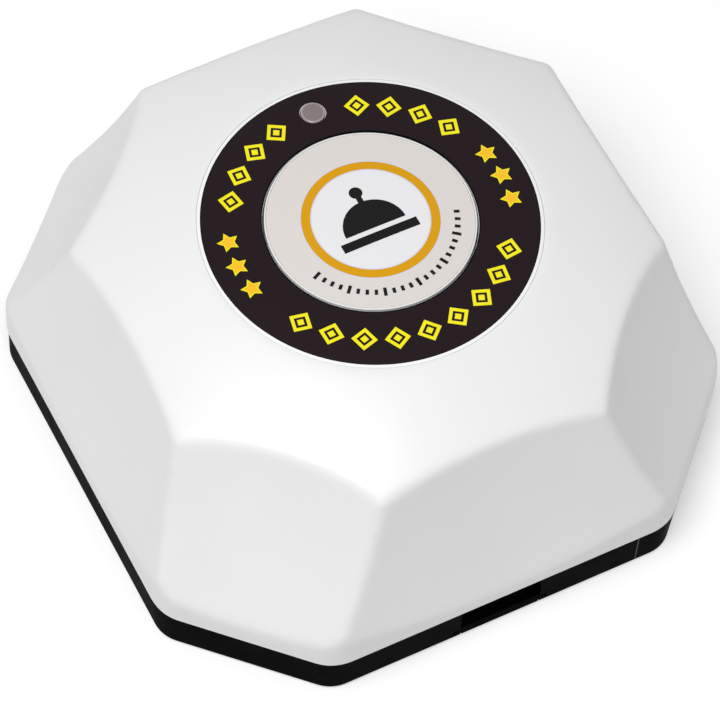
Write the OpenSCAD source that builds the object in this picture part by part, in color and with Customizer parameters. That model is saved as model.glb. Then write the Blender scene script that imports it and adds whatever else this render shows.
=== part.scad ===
// Table-top call button: a pale octagonal cover with scooped sides on a black base,
// a round button in a printed ring, and a sliding battery door below.
// Millimetres, +Z up. The origin is the centre of the footprint, on the surface it stands on.
// The front is -Y, where the battery door comes out.

/* [Case] */
// Width of the cover across its long sides
across_long = 80; // [76:1:92]
// Width of the cover across its short sides
across_short = 90.3; // [88:0.1:98]
// Radius of the case's upright corners
corner_r = 5; // [3:0.5:8]
// Height of the cover, from the seam to its flat top
cover_h = 30.5; // [29:0.5:36]
// Wall of the cover
wall = 1.8; // [1.4:0.1:2.4]
// Height of the upright skirt at the cover's foot
skirt_h = 3.5; // [2:0.5:6]
// Height of the black band below the seam
band_h = 6; // [5.6:0.1:9]
// How far the band is set in under the cover
band_inset = 0.3; // [0.2:0.1:1]
// Floor of the base
floor_t = 2.4; // [2.4:0.1:3.2]
// Thickness of the lip that stands up inside the cover
lip_t = 1; // [0.8:0.1:1.4]
// Height of that lip above the seam
lip_h = 2; // [1:0.5:4]

/* [Crown and scoops] */
// Radius of the domed crown
crown_r = 85; // [75:5:120]
// Radius of the flat that carries the printed ring
crown_flat_r = 22; // [21.8:0.1:23]
// Distance from the axis to the top edge of each scooped side
scoop_reach = 34; // [32:0.5:36]
// Height of the scoops' top corners above the seam
scoop_top_h = 25; // [23:0.5:26]
// Depth of the hollow in each scooped side
scoop_sag = 0.8; // [0.5:0.1:1.2]

/* [Printed ring] */
// Outer radius of the printed ring
ring_r = 21.5; // [20:0.1:21.6]
// Thickness of the printed ring
ring_t = 0.3; // [0.2:0.05:0.5]
// Turn of the printed ring about the axis, in degrees
ring_turn = -2.7; // [-10:0.1:10]
// Distance of the light pipe from the axis
pipe_reach = 17.7; // [17.5:0.1:18.5]
// Radius of the light pipe
pipe_r = 1.55; // [1.2:0.05:1.6]

/* [Button] */
// Radius of the button
button_r = 13.2; // [11:0.1:13.2]
// Gap between the button and its well
button_gap = 0.2; // [0.2:0.05:0.4]
// How far the button's edge stands above the printed ring
button_proud = 0.1; // [0.05:0.05:0.8]
// Rise of the button's face from its edge to its middle
button_crown = 0.35; // [0.1:0.05:0.6]
// Height of the button's rim wall
button_h = 4.6; // [4:0.1:5]
// Thickness of the button's walls
button_wall = 1.4; // [1.2:0.1:1.8]
// Travel of the button
travel = 0.4; // [0.2:0.05:0.5]
// Radius of the button's stem
stem_r = 4; // [3:0.25:4.5]
// Room between the button's rim wall and its snap hooks
hook_set = 0.6; // [0.4:0.1:1]
// Width of the button's bare rim round the printed disc
disc_edge = 0.25; // [0.2:0.05:2]
// Thickness of the printed disc
disc_t = 0.25; // [0.15:0.05:0.3]

/* [Board and switch] */
// Length of the circuit board, from side to side
board_w = 42; // [42:1:46]
// Depth of the circuit board, from front to back
board_d = 40; // [40:1:44]
// Thickness of the circuit board
board_t = 1.6; // [1:0.1:2]
// Height of the board's underside above the surface it stands on
board_z = 15; // [15:0.1:16]
// Width of the tactile switch
switch_w = 12; // [11:0.5:12.5]
// Height of the tactile switch, from the board to its plunger's top
switch_h = 7.3; // [6:0.1:8]
// Radius of the switch's plunger
plunger_r = 3.4; // [2.5:0.1:3.6]

/* [Battery] */
// Diameter of the cell
cell_d = 10.3; // [9.8:0.1:10.6]
// Length of the cell, nub included
cell_l = 28.5; // [26:0.1:29]
// Width of the notch in the band, and of the bay behind it
bay_w = 11.3; // [11:0.1:12]
// Length of the battery bay
bay_l = 36; // [35.5:0.1:37]
// Thickness of the bay's walls
bay_wall = 1.4; // [1:0.1:2]
// Thickness of the battery door
door_t = 1.6; // [1.4:0.1:1.8]
// How far the door's end is set back in the notch
door_recess = 1; // [0.5:0.1:1.2]
// Wire radius of the contact spring
spring_wire_r = 0.3; // [0.2:0.05:0.4]

/* [Fasteners and feet] */
// Distance of the case screws from the axis
screw_reach = 34; // [33:0.5:35]
// Radius of a case screw's shank
screw_r = 1.2; // [1:0.1:1.5]
// Length of a case screw's shank
screw_l = 12; // [9:0.5:13]
// Outer radius of the screw bosses
boss_r = 3.2; // [3:0.1:3.6]
// Radius of a board screw's shank
board_screw_r = 0.9; // [0.7:0.1:1]
// Radius of a foot
foot_r = 3.9; // [3:0.1:4.5]
// Height of the feet below the base
foot_proud = 0.5; // [0.4:0.1:1]

/* [Hidden] */
// Clearances
touch = 0.02;            // between faces that meet
fit = 0.05;              // round a shaft or a screw
slip = 0.15;             // round a sliding or dropped-in piece
cut = 1;                 // how far a cut runs past what it cuts

// Heights
base_z = foot_proud;
floor_z = base_z + floor_t;
seam_z = base_z + band_h;
top_z = seam_z + cover_h;
crown_z = top_z - sqrt(crown_r * crown_r - crown_flat_r * crown_flat_r);
skirt_z = seam_z + skirt_h;
scoop_z = seam_z + scoop_top_h;

// Plan of the case
band_long = across_long - 2 * band_inset;
band_short = across_short - 2 * band_inset;
lip_set = wall + slip;
lip_in = lip_set + lip_t;
front_y = -band_long / 2;

// Button and its well
well_r = button_r + button_gap;
well_wall = 1.6;
button_top_z = top_z + button_proud;
button_foot_z = button_top_z - button_h;
well_floor_t = 1.6;
well_clear = 0.4;
well_z = button_foot_z - travel - well_clear;
button_roof_z = button_top_z - disc_t - button_wall;
disc_r = button_r - disc_edge;
stem_z = board_z + board_t + switch_h + fit;
guide_wall = 1.6;
guide_h = 5.2;
hook_t = 1.2;
hook_w = 3;
hook_catch = 0.8;
hook_drop = 1.6;
hook_nose = 0.5;
hook_count = 3;
hook_step = 360 / hook_count;
hook_turn = 30;
hook_reach = button_r - button_wall - hook_set - hook_catch - hook_t;
stem_web = 0.5;
web_t = 1.2;
disc_steps = 8;
disc_gap = 0.05;
rim_bevel = 0.05;

// Light pipe
pipe_flange_r = pipe_r + 0.7;
pipe_flange_t = 1;
pipe_tube_wall = 1.2;
lamp_r = 1.5;
lamp_h = 5;
pipe_clear = 0.6;
pipe_tube_z = board_z + board_t + lamp_h + pipe_clear + pipe_flange_t;

// Board and what stands on it
board_top = board_z + board_t;
post_x = 16.5;
post_y = 15;
post_r = 2.6;
board_corner_r = 2;
switch_body_h = 2.8;
switch_frame_t = 0.4;
plunger_flange_r = plunger_r + 0.8;
plunger_flange_t = 0.8;
switch_slack = 0.2;
dome_lift = 0.6;
dome_z = board_top + dome_lift;
dome_h = 1.15;
dome_t = 0.15;
dome_slack = 0.1;
clip_w = 3;
clip_lift = 0.5;
relief_w = 1.6;
relief_h = 0.3;
lamp_rim = 0.3;
lamp_rim_t = 1;
tail_w = 1.4;
tail_reach = 8.6;
tail_proud = 0.6;

// Parts on the board, with their distances from its left and front edges
leg_w = 0.4;
leg_t = 0.3;
leg_reach = 1;
encoder_w = 5;
encoder_d = 4;
encoder_h = 1.5;
encoder_legs = 4;
encoder_pitch = 1.27;
encoder_from_left = 9.5;
encoder_from_front = 26;
transistor_w = 2.9;
transistor_d = 1.3;
transistor_h = 1;
transistor_legs = 2;
transistor_pitch = 1.9;
transistor_from_left = 32.5;
transistor_from_front = 10.5;
resonator_r = 4.1;
resonator_rim = 0.5;
resonator_h = 3.2;
resonator_from_left = 10;
resonator_from_front = 14;
can_r = 2.5;
can_h = 7;
can_bevel = 0.3;
can_groove_z = 1.1;
can_from_left = 28.2;
can_from_front = 33;
chip_l = 1.6;
chip_w = 0.8;
resistor_h = 0.45;
capacitor_h = 0.8;
row_step = 3;
left_row_x = 3.5;
left_row_y = 23;
rear_row_x = 14;
rear_row_y = 32.5;
right_row_x = 29;
right_row_y = 7;
antenna_r = 2.2;
antenna_wire_r = 0.35;
antenna_l = 16;
antenna_turns = 9;
antenna_lift = 0.1;
antenna_from_left = 36.5;
antenna_from_front = 13;

// Battery bay
strip_t = 0.4;
cell_lift = 0.2;
cell_z = base_z + door_t + cell_lift + cell_d / 2;
nub_r = 2.75;
nub_h = 1;
bay_set = 0.65;
bay_front_y = -across_long / 2 + lip_in + bay_set + bay_wall;
bay_rear_y = bay_front_y + bay_l;
bay_wall_z = cell_z + cell_d / 3;
cell_rear_y = bay_rear_y - strip_t - touch;
strip_lift = 0.4;
strip_z = cell_z + cell_d / 2 + strip_lift;
contact_w = 8;
contact_lift = 0.8;
contact_z = base_z + door_t + contact_lift;
arm_w = 4;
arm_h = 1.5;
arm_lift = 0.3;
tail_set = 2.4;
tail_y = -board_d / 2 + tail_set;
coil_share = 0.3;
coil_turns = 4;

// Battery door
rail_t = 0.8;
rail_w = 0.9;
rail_z = base_z + (door_t - rail_t) / 2;
rail_slack = 0.1;
tab_t = 1.2;
tab_y = front_y + door_recess;
door_short = 0.5;
door_rear_y = bay_rear_y - door_short;
grip_count = 5;
grip_set = 5;
grip_step = 2.2;
grip_depth = 0.4;
grip_w = 1;

// Fasteners and feet
rib_t = 1.2;
rib_drop = 4;
boss_lift = 1;
boss_foot_z = seam_z + boss_lift;
shank_slack = 0.3;
head_r = 2.5;
head_t = 2;
head_web = 3;
screw_tip = 1.5;
board_head_r = 1.7;
board_head_t = 1.2;
board_screw_l = 6;
board_screw_room = 2;
recess_w = 0.6;
recess_reach = 0.6;
recess_deep = 0.55;
foot_in = 6;
foot_x = across_long / 2 - foot_in;
foot_y = 15;
foot_sink = 0.8;
foot_slack = 0.2;

// Roundness
big_fn = 180;
mid_fn = 96;
small_fn = 40;
ring_steps = 12;
ring_sides = 6;

// ---- Plan outlines ----

// Reach of side k of an octagon whose even sides are long and whose odd sides are short
function side_reach(k, w_long, w_short) = (k % 2 == 0 ? w_long : w_short) / 2;

// Corner between side k and side k + 1
function corner(k, w_long, w_short) =
    let (near = side_reach(k, w_long, w_short))
    let (far = side_reach(k + 1, w_long, w_short))
    let (along = (far - near * cos(45)) / sin(45))
    [near * cos(45 * k) - along * sin(45 * k), near * sin(45 * k) + along * cos(45 * k)];

// Octagon with rounded corners, drawn inside the given widths
module octagon(w_long, w_short, r) {
    centres = [for (k = [0:7]) corner(k, w_long - 2 * r, w_short - 2 * r)];
    polygon([
        for (k = [0:7], side = [k, k + 1])
            centres[k] + r * [cos(45 * side), sin(45 * side)]
    ]);
    for (centre = centres)
        translate(centre)
            circle(r = r, $fn = mid_fn);
}

// Upright prism of the octagon, set in by a distance from the cover's outline
module case_prism(set_in, z, h) {
    translate([0, 0, z])
        linear_extrude(height = h)
            octagon(across_long - 2 * set_in, across_short - 2 * set_in, corner_r - set_in);
}

module rounded_plate(w, d, h, r) {
    linear_extrude(height = h) {
        square([w - 2 * r, d], center = true);
        square([w, d - 2 * r], center = true);
        for (x = [-1, 1], y = [-1, 1])
            translate([x * (w / 2 - r), y * (d / 2 - r)])
                circle(r = r, $fn = small_fn);
    }
}

// ---- Scooped sides ----
// Each side is a shallow dish, part of a large sphere, so that the ridges between the sides
// run nearly straight from the skirt's corners up to the crown.

function scoop_run(reach) = reach - scoop_reach;
function scoop_chord(reach) = norm([scoop_run(reach), scoop_z - skirt_z]);

// Half the width of a side where it meets the next one, whose own reach is given too
function side_half(reach, next_reach) = (next_reach - reach * cos(45)) / sin(45);

// The same half width at the dish's mid height
function scoop_half(reach, next_reach) =
    (side_half(reach, next_reach) + side_half(scoop_reach, scoop_reach)) / 2;
function scoop_r(half) = (half * half + scoop_sag * scoop_sag) / (2 * scoop_sag);

// Centre of the sphere, as its distance from the axis and its height
function scoop_centre(reach, radius) =
    [(reach + scoop_reach) / 2, (skirt_z + scoop_z) / 2]
    + (radius - scoop_sag) * [scoop_z - skirt_z, scoop_run(reach)] / scoop_chord(reach);

module scoops(set_in) {
    for (k = [0:7]) {
        reach = side_reach(k, across_long, across_short);
        next_reach = side_reach(k + 1, across_long, across_short);
        radius = scoop_r(scoop_half(reach, next_reach));
        centre = scoop_centre(reach, radius);
        rotate([0, 0, 45 * k])
            translate([centre[0], 0, centre[1]])
                sphere(r = radius + set_in, $fn = big_fn);
    }
}

// The cover's outer form, or the same form set in by the wall
module cover_form(set_in, z) {
    difference() {
        intersection() {
            case_prism(set_in, z, top_z - set_in - z);
            translate([0, 0, crown_z])
                sphere(r = crown_r - set_in, $fn = big_fn);
        }
        scoops(set_in);
    }
}

// ---- Repeated places ----

module at_screws() {
    for (k = [0:3])
        rotate([0, 0, 45 + 90 * k])
            translate([screw_reach, 0, 0])
                children();
}

module at_posts() {
    for (x = [-1, 1], y = [-1, 1])
        translate([x * post_x, y * post_y, 0])
            children();
}

module at_feet() {
    for (x = [-1, 1], y = [-1, 1])
        translate([x * foot_x, y * foot_y, 0])
            children();
}

module at_hooks() {
    for (k = [0:hook_count - 1])
        rotate([0, 0, hook_turn + hook_step * k])
            children();
}

module at_pipe() {
    rotate([0, 0, 90 + ring_turn])
        translate([pipe_reach, 0, 0])
            children();
}

// ---- Cover ----

module top_cover() {
    slot_in = hook_reach - hook_catch - slip;
    slot_l = hook_catch + hook_t + 2 * slip;
    color("whitesmoke")
        difference() {
            cover_form(0, seam_z);
            // Hollow, less what stands in it
            difference() {
                cover_form(wall, seam_z - cut);
                translate([0, 0, well_z - well_floor_t])
                    cylinder(r = well_r + well_wall, h = top_z, $fn = mid_fn);
                translate([0, 0, well_z - guide_h])
                    cylinder(r = stem_r + guide_wall, h = guide_h, $fn = mid_fn);
                at_pipe()
                    translate([0, 0, pipe_tube_z])
                        cylinder(r = pipe_r + fit + pipe_tube_wall, h = top_z, $fn = small_fn);
                at_screws()
                    translate([0, 0, boss_foot_z])
                        cylinder(r = boss_r, h = top_z, $fn = small_fn);
                for (k = [0:3])
                    rotate([0, 0, 45 + 90 * k])
                        translate([well_r, -rib_t / 2, top_z - wall - rib_drop])
                            cube([screw_reach, rib_t, top_z]);
            }
            // Button well, stem guide and hook slots
            translate([0, 0, well_z])
                cylinder(r = well_r, h = top_z, $fn = mid_fn);
            translate([0, 0, well_z - guide_h - cut])
                cylinder(r = stem_r + fit, h = top_z, $fn = mid_fn);
            at_hooks()
                translate([slot_in, -hook_w / 2 - slip, well_z - well_floor_t - cut])
                    cube([slot_l, hook_w + 2 * slip, well_floor_t + 2 * cut]);
            // Recess of the printed ring, and the light pipe's hole
            translate([0, 0, top_z - ring_t])
                cylinder(r = ring_r + slip, h = cut + ring_t, $fn = mid_fn);
            at_pipe()
                translate([0, 0, pipe_tube_z - cut])
                    cylinder(r = pipe_r + fit, h = top_z, $fn = small_fn);
            // Pilot holes of the case screws
            at_screws()
                translate([0, 0, boss_foot_z - cut])
                    cylinder(r = screw_r + fit, h = screw_l - (boss_foot_z - base_z - head_web) + 2 * cut,
                             $fn = small_fn);
        }
}

module cover_label() {
    color("#251c20")
        difference() {
            translate([0, 0, top_z - ring_t + touch])
                cylinder(r = ring_r, h = ring_t - touch, $fn = mid_fn);
            translate([0, 0, top_z - cut])
                cylinder(r = well_r + fit, h = 2 * cut, $fn = mid_fn);
            at_pipe()
                translate([0, 0, top_z - cut])
                    cylinder(r = pipe_r + slip, h = 2 * cut, $fn = small_fn);
        }
}

module led_light_pipe() {
    color("#80747a")
        at_pipe() {
            translate([0, 0, pipe_tube_z - touch - pipe_flange_t])
                cylinder(r = pipe_r, h = top_z - pipe_tube_z + touch + pipe_flange_t, $fn = small_fn);
            translate([0, 0, pipe_tube_z - touch - pipe_flange_t])
                cylinder(r = pipe_flange_r, h = pipe_flange_t, $fn = small_fn);
        }
}

// ---- Button ----

// Height of the button's face under the printed disc, at a distance from the axis
function face_z(r) = button_top_z - disc_t - touch + button_crown * (1 - pow(r / button_r, 2));

function face_points(r, lift, steps) =
    [for (k = [steps:-1:0]) [r * k / steps, face_z(r * k / steps) + lift]];

module call_button() {
    seat_r = disc_r + disc_gap;
    hook_top = button_roof_z + button_wall / 4;
    catch_z = well_z - well_floor_t - fit;
    color("#f2f0ef") {
        rotate_extrude($fn = mid_fn)
            polygon(concat(
                [
                    [0, button_roof_z],
                    [button_r - button_wall, button_roof_z],
                    [button_r - button_wall, button_foot_z],
                    [button_r, button_foot_z],
                    [button_r, button_top_z - rim_bevel],
                    [button_r - rim_bevel, button_top_z],
                    [seat_r, button_top_z]
                ],
                face_points(seat_r, 0, disc_steps)
            ));
        translate([0, 0, stem_z])
            cylinder(r = stem_r, h = hook_top - stem_z, $fn = mid_fn);
        // Ribs between the stem and the rim wall
        at_hooks()
            rotate([0, 0, hook_step / 2])
                translate([stem_r - stem_web, -web_t / 2, button_foot_z])
                    cube([button_r - button_wall - stem_r + 2 * stem_web, web_t, hook_top - button_foot_z]);
        // Snap hooks that hold the button in its well
        at_hooks()
            translate([0, hook_w / 2, 0])
                rotate([90, 0, 0])
                    linear_extrude(height = hook_w)
                        polygon([
                            [hook_reach, hook_top],
                            [hook_reach, catch_z - hook_drop],
                            [hook_reach + hook_t * 2 / 3, catch_z - hook_drop],
                            [hook_reach + hook_t + hook_catch, catch_z - hook_nose],
                            [hook_reach + hook_t + hook_catch, catch_z],
                            [hook_reach + hook_t, catch_z],
                            [hook_reach + hook_t, hook_top]
                        ]);
    }
}

module button_label() {
    color("#e1dcda")
        rotate_extrude($fn = mid_fn)
            polygon(concat(
                face_points(disc_r, disc_t + touch, disc_steps),
                [for (k = [0:disc_steps]) [disc_r * k / disc_steps, face_z(disc_r * k / disc_steps) + touch]]
            ));
}

// ---- Base ----

module screw_well() {
    translate([0, 0, floor_z - touch])
        cylinder(r = boss_r, h = boss_foot_z - floor_z, $fn = small_fn);
}

module base_tray() {
    rail_slot_z = rail_z - rail_slack;
    rail_slot_t = rail_t + 2 * rail_slack;
    way_l = door_rear_y + slip - front_y + cut;
    outer_bay = bay_w + 2 * bay_wall;
    color("#17181a")
        difference() {
            union() {
                // Floor, band and lip
                case_prism(band_inset, base_z, floor_t);
                difference() {
                    union() {
                        case_prism(band_inset, base_z, band_h);
                        case_prism(lip_set, base_z, band_h + lip_h);
                    }
                    case_prism(lip_in, base_z - cut, band_h + lip_h + 2 * cut);
                }
                at_screws()
                    screw_well();
                at_posts()
                    translate([0, 0, base_z])
                        cylinder(r = post_r, h = board_z - base_z, $fn = small_fn);
                // Walls of the battery bay
                translate([-outer_bay / 2, bay_front_y - bay_wall, base_z])
                    cube([outer_bay, bay_l + 2 * bay_wall, bay_wall_z - base_z]);
            }
            // Inside of the bay, above the door
            translate([-bay_w / 2, bay_front_y, base_z + door_t])
                cube([bay_w, bay_l, board_z]);
            // Way of the door: its slot, its grooves and the notch in the band
            translate([-bay_w / 2, front_y - cut, base_z - cut])
                cube([bay_w, way_l, door_t + rail_slack + cut]);
            translate([-bay_w / 2 - rail_w - rail_slack, front_y - cut, rail_slot_z])
                cube([bay_w + 2 * (rail_w + rail_slack), way_l, rail_slot_t]);
            translate([-bay_w / 2, front_y - cut, base_z - cut])
                cube([bay_w, lip_in - band_inset + slip + cut, band_h + cut]);
            // Wells and pilot holes of the screws, and the feet's seats
            at_screws() {
                translate([0, 0, base_z - cut])
                    cylinder(r = head_r + slip, h = head_web + cut, $fn = small_fn);
                translate([0, 0, base_z])
                    cylinder(r = screw_r + shank_slack, h = boss_foot_z, $fn = small_fn);
            }
            at_posts()
                translate([0, 0, board_z - board_screw_l - board_screw_room])
                    cylinder(r = board_screw_r + fit, h = board_screw_l + board_screw_room + cut,
                             $fn = small_fn);
            at_feet()
                translate([0, 0, base_z - cut])
                    cylinder(r = foot_r + foot_slack, h = foot_sink + cut, $fn = small_fn);
        }
}

module battery_door() {
    plate_w = bay_w - 2 * slip;
    color("#101113")
        difference() {
            union() {
                // Plate, flush with the band, and its rails
                translate([-plate_w / 2, front_y, base_z])
                    cube([plate_w, door_rear_y - front_y, door_t]);
                translate([-plate_w / 2 - rail_w, front_y, rail_z])
                    cube([plate_w + 2 * rail_w, door_rear_y - front_y, rail_t]);
                // Upright tab, set back in the notch
                translate([-plate_w / 2, tab_y, base_z])
                    cube([plate_w, tab_t, band_h - slip]);
            }
            // Finger grooves across the underside
            for (k = [0:grip_count - 1])
                translate([-plate_w / 3, front_y + grip_set + grip_step * k, base_z - cut])
                    cube([plate_w * 2 / 3, grip_w, grip_depth + cut]);
        }
}

module rubber_feet() {
    color("#2a2a2c")
        at_feet()
            cylinder(r = foot_r, h = foot_proud + foot_sink - touch, $fn = small_fn);
}

module cross_recess(r, depth) {
    for (turn = [0, 90])
        rotate([0, 0, turn])
            translate([-r, -recess_w / 2, -cut])
                cube([2 * r, recess_w, depth + cut]);
}

module case_screws() {
    head_z = base_z + head_web - touch;
    color("#b9bcc0")
        at_screws()
            difference() {
                union() {
                    translate([0, 0, head_z - head_t])
                        cylinder(r = head_r, h = head_t, $fn = small_fn);
                    translate([0, 0, head_z])
                        cylinder(r = screw_r, h = screw_l - screw_tip, $fn = small_fn);
                    translate([0, 0, head_z + screw_l - screw_tip])
                        cylinder(r1 = screw_r, r2 = screw_r / 4, h = screw_tip, $fn = small_fn);
                }
                translate([0, 0, head_z - head_t])
                    cross_recess(head_r * recess_reach, head_t * recess_deep);
            }
}

// ---- Battery and contacts ----

module battery_cell() {
    color("#3b4a5c")
        translate([0, cell_rear_y, cell_z])
            rotate([90, 0, 0]) {
                cylinder(r = nub_r, h = cell_l / 2, $fn = small_fn);
                translate([0, 0, nub_h])
                    cylinder(r = cell_d / 2, h = cell_l - nub_h, $fn = mid_fn);
            }
}

// Round wire swept along a helix about +Z
function helix_ring(coil_r, wire_r, pitch, turn, sides) =
    let (slope = atan(pitch / (2 * PI * coil_r)))
    [
        for (s = [0:sides - 1])
            let (out = wire_r * cos(360 * s / sides))
            let (up = wire_r * sin(360 * s / sides))
            [
                (coil_r + out) * cos(turn) + up * sin(slope) * sin(turn),
                (coil_r + out) * sin(turn) - up * sin(slope) * cos(turn),
                pitch * turn / 360 + up * cos(slope)
            ]
    ];

module helix(coil_r, wire_r, pitch, turns, per_turn, sides) {
    last = turns * per_turn;
    rings = [
        for (k = [0:last], point = helix_ring(coil_r, wire_r, pitch, 360 * k / per_turn, sides)) point
    ];
    walls = [
        for (k = [0:last - 1], s = [0:sides - 1])
            let (a = k * sides + s)
            let (b = k * sides + (s + 1) % sides)
            for (face = [[a, a + sides, b], [b, a + sides, b + sides]]) face
    ];
    start_cap = [for (s = [0:sides - 1]) s];
    end_cap = [for (s = [sides - 1:-1:0]) last * sides + s];
    polyhedron(points = rings, faces = concat([start_cap, end_cap], walls), convexity = 10);
}

module contact_spring() {
    room = cell_rear_y - cell_l - bay_front_y - strip_t;
    pitch = (room - 2 * spring_wire_r - 2 * touch) / coil_turns;
    color("silver")
        translate([0, bay_front_y + strip_t + spring_wire_r + touch, cell_z])
            rotate([-90, 0, 0])
                helix(cell_d * coil_share, spring_wire_r, pitch, coil_turns, ring_steps, ring_sides);
}

module negative_contact() {
    color("silver")
        union() {
            translate([-contact_w / 2, bay_front_y + touch, contact_z])
                cube([contact_w, strip_t, bay_wall_z - contact_z]);
            translate([-arm_w / 2, bay_front_y + touch, cell_z])
                cube([arm_w, strip_t, strip_z + strip_t - cell_z]);
            translate([-arm_w / 2, bay_front_y + touch, strip_z])
                cube([arm_w, tail_y - bay_front_y + strip_t - touch, strip_t]);
            translate([-tail_w / 2, tail_y, strip_z])
                cube([tail_w, strip_t, board_top + tail_proud - strip_z]);
        }
}

module positive_contact() {
    arm_z = bay_wall_z + arm_lift;
    color("silver")
        union() {
            translate([-contact_w / 2, bay_rear_y - strip_t - touch / 2, contact_z])
                cube([contact_w, strip_t, arm_z + arm_h - contact_z]);
            translate([-contact_w / 2, bay_rear_y - strip_t - touch / 2, arm_z])
                cube([tail_reach + (contact_w + tail_w) / 2, strip_t, arm_h]);
            translate([tail_reach - tail_w / 2, bay_rear_y - strip_t - touch / 2, arm_z])
                cube([tail_w, strip_t, board_top + tail_proud - arm_z]);
        }
}

// ---- Board ----

module board_slot(x, y) {
    translate([x - tail_w / 2 - slip, y - slip, board_z - cut])
        cube([tail_w + 2 * slip, strip_t + 2 * slip, board_t + 2 * cut]);
}

module circuit_board() {
    color("#2f6b3c")
        difference() {
            translate([0, 0, board_z])
                rounded_plate(board_w, board_d, board_t, board_corner_r);
            at_posts()
                translate([0, 0, board_z - cut])
                    cylinder(r = board_screw_r + slip, h = board_t + 2 * cut, $fn = small_fn);
            board_slot(0, tail_y);
            board_slot(tail_reach, bay_rear_y - strip_t);
        }
}

module board_screws() {
    color("#c9ccd0")
        at_posts()
            difference() {
                union() {
                    translate([0, 0, board_top + touch])
                        cylinder(r = board_head_r, h = board_head_t, $fn = small_fn);
                    translate([0, 0, board_z + touch - board_screw_l])
                        cylinder(r = board_screw_r, h = board_screw_l + board_t + board_head_t / 2,
                                 $fn = small_fn);
                }
                translate([0, 0, board_top + touch + board_head_t])
                    mirror([0, 0, 1])
                        cross_recess(board_head_r * recess_reach, board_head_t * recess_deep);
            }
}

module switch_body() {
    body_w = switch_w - 2 * switch_slack;
    color("#1c1c1e")
        difference() {
            translate([-body_w / 2, -body_w / 2, board_top + touch])
                cube([body_w, body_w, switch_body_h]);
            translate([0, 0, dome_z])
                cylinder(r = plunger_flange_r + switch_slack, h = switch_body_h, $fn = small_fn);
            // Stand-off relief under the body
            translate([-relief_w / 2, -switch_w, board_top - cut])
                cube([relief_w, 2 * switch_w, cut + relief_h]);
        }
}

module switch_dome() {
    dome_r = plunger_flange_r - dome_slack;
    cap_r = (dome_r * dome_r + dome_h * dome_h) / (2 * dome_h);
    color("#d8d4c8")
        intersection() {
            difference() {
                translate([0, 0, dome_z + touch + dome_h - cap_r])
                    sphere(r = cap_r, $fn = mid_fn);
                translate([0, 0, dome_z + touch + dome_h - cap_r])
                    sphere(r = cap_r - dome_t, $fn = mid_fn);
            }
            translate([0, 0, dome_z + touch])
                cylinder(r = dome_r, h = dome_h + cut, $fn = mid_fn);
        }
}

module switch_plunger() {
    flange_z = board_top + switch_body_h - plunger_flange_t;
    color("#8a2f2a")
        union() {
            translate([0, 0, flange_z])
                cylinder(r = plunger_flange_r, h = plunger_flange_t, $fn = small_fn);
            translate([0, 0, flange_z])
                cylinder(r = plunger_r, h = board_top + switch_h - flange_z, $fn = small_fn);
        }
}

module switch_frame() {
    frame_z = board_top + switch_body_h + 2 * touch;
    color("#c4c7ca")
        difference() {
            union() {
                translate([-switch_w / 2 - strip_t, -switch_w / 2 + switch_slack, frame_z])
                    cube([switch_w + 2 * strip_t, switch_w - 2 * switch_slack, switch_frame_t]);
                for (side = [-1, 1])
                    translate([side * (switch_w + strip_t) / 2 - strip_t / 2, -clip_w / 2, board_top + clip_lift])
                        cube([strip_t, clip_w, frame_z - board_top]);
            }
            translate([0, 0, board_top])
                cylinder(r = plunger_r + fit, h = switch_h, $fn = small_fn);
        }
}

module status_led() {
    color("#d9dfe2")
        at_pipe() {
            translate([0, 0, board_top + touch])
                cylinder(r = lamp_r + lamp_rim, h = lamp_rim_t, $fn = small_fn);
            translate([0, 0, board_top + touch])
                cylinder(r = lamp_r, h = lamp_h - lamp_r, $fn = small_fn);
            translate([0, 0, board_top + touch + lamp_h - lamp_r])
                sphere(r = lamp_r, $fn = small_fn);
        }
}

// Puts a part on the board, at its distance from the left and front edges
module on_board(from_left, from_front) {
    translate([from_left - board_w / 2, from_front - board_d / 2, board_top + touch])
        children();
}

// Moulded chip with a row of legs along each long edge
module chip(w, d, h, legs, pitch) {
    translate([-w / 2, -d / 2, leg_t / 2])
        cube([w, d, h]);
    for (k = [0:legs - 1])
        translate([(k - (legs - 1) / 2) * pitch - leg_w / 2, -d / 2 - leg_reach, 0])
            cube([leg_w, d + 2 * leg_reach, leg_t]);
}

module encoder_chip() {
    color("#202226")
        on_board(encoder_from_left, encoder_from_front)
            chip(encoder_w, encoder_d, encoder_h, encoder_legs, encoder_pitch);
}

module rf_transistor() {
    color("#202226")
        on_board(transistor_from_left, transistor_from_front)
            chip(transistor_w, transistor_d, transistor_h, transistor_legs, transistor_pitch);
}

module saw_resonator() {
    color("#b7babd")
        on_board(resonator_from_left, resonator_from_front) {
            cylinder(r = resonator_r + resonator_rim, h = resonator_rim, $fn = small_fn);
            cylinder(r = resonator_r, h = resonator_h, $fn = small_fn);
        }
}

module supply_capacitor() {
    color("#2b3550")
        on_board(can_from_left, can_from_front)
            rotate_extrude($fn = small_fn)
                polygon([
                    [0, 0],
                    [can_r, 0],
                    [can_r, can_groove_z - can_bevel],
                    [can_r - can_bevel, can_groove_z],
                    [can_r, can_groove_z + can_bevel],
                    [can_r, can_h - can_bevel],
                    [can_r - can_bevel, can_h],
                    [0, can_h]
                ]);
}

// One small chip part, lying along X or turned across it
module small_chip(turn, h) {
    rotate([0, 0, turn])
        translate([-chip_l / 2, -chip_w / 2, 0])
            cube([chip_l, chip_w, h]);
}

module chip_resistors() {
    color("#1d1e20") {
        for (k = [0, 1])
            on_board(left_row_x, left_row_y + k * row_step)
                small_chip(0, resistor_h);
        on_board(rear_row_x + row_step, rear_row_y)
            small_chip(90, resistor_h);
        on_board(right_row_x, right_row_y)
            small_chip(90, resistor_h);
    }
}

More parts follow.
